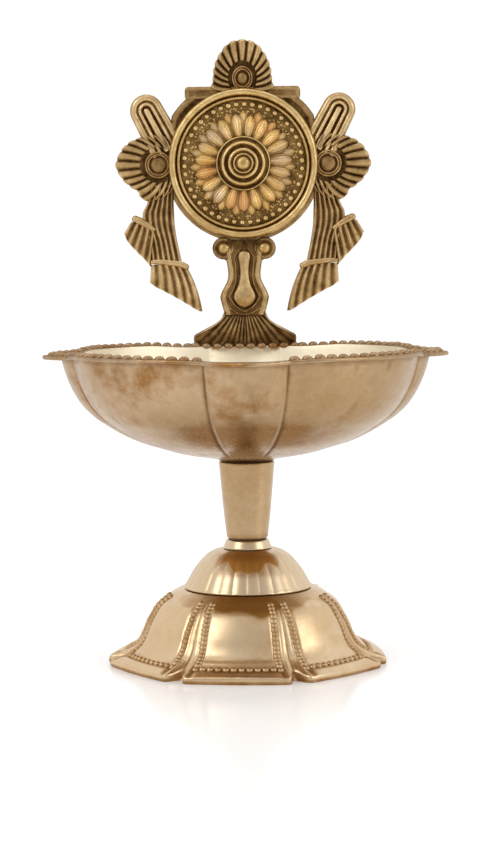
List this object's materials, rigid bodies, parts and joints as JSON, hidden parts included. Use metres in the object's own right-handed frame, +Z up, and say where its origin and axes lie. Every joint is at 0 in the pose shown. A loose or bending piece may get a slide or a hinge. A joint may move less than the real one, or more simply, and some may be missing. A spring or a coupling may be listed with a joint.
{
  "type": "diya oil lamp",
  "caption": "Brass pedestal oil lamp: beaded four-spouted bowl on a tapered stem and lobed foot, with a riveted wheel emblem behind the bowl.",
  "frame": {"origin": "on the stem's axis, on the surface that the lamp stands on", "axes": "+Z up along the stem; the emblem stands behind the bowl at +Y and faces -Y, the front; +X to the right"},
  "size_m": [0.1162, 0.1144, 0.1815],
  "materials": {
    "polished_brass": "polished cast brass, pale tan, with turning marks and darker staining in the creases",
    "antique_brass": "antiqued cast brass, brown in the recesses and rubbed bright on the ridges",
    "turned_brass": "turned brass, satin",
    "seam_washer": "thin darkened washer in a seam"
  },
  "bodies": {
    "base": {"base_skirt": "polished_brass", "base_dome": "polished_brass", "base_collar": "turned_brass", "base_clamp_washer": "turned_brass", "base_lock_nut": "turned_brass"},
    "lower_washer": {"stem_washer": "seam_washer"},
    "stem": {"stem": "polished_brass", "stem_stud": "turned_brass"},
    "upper_washer": {"bowl_seat_washer": "seam_washer"},
    "bowl": {"bowl": "polished_brass", "bowl_stud": "turned_brass", "emblem_bracket": "antique_brass", "emblem_plate": "antique_brass", "emblem_wheel": "antique_brass", "emblem_hub": "antique_brass", "rivet_left": "antique_brass", "rivet_right": "antique_brass", "foot_screw_left": "turned_brass", "foot_screw_right": "turned_brass"}
  },
  "joints": [
    {"name": "stem_turn", "type": "hinge", "parent": "base", "child": "lower_washer", "pos_m": [0, 0, 0.0354], "axis": [0, 0, 1], "range_deg": [0, 1441]},
    {"name": "stem_rise", "type": "slide", "parent": "lower_washer", "child": "stem", "axis": [0, 0, 1], "range_m": [0, 0.008]},
    {"name": "bowl_turn", "type": "hinge", "parent": "stem", "child": "upper_washer", "pos_m": [0, 0, 0.0576], "axis": [0, 0, 1], "range_deg": [0, 1441]},
    {"name": "bowl_rise", "type": "slide", "parent": "upper_washer", "child": "bowl", "axis": [0, 0, 1], "range_m": [0, 0.008]}
  ],
  "couplings": [
    {"joint": "stem_turn", "follows": "stem_rise", "rad_per_m": 3141.6},
    {"joint": "bowl_turn", "follows": "bowl_rise", "rad_per_m": 3141.6}
  ]
}
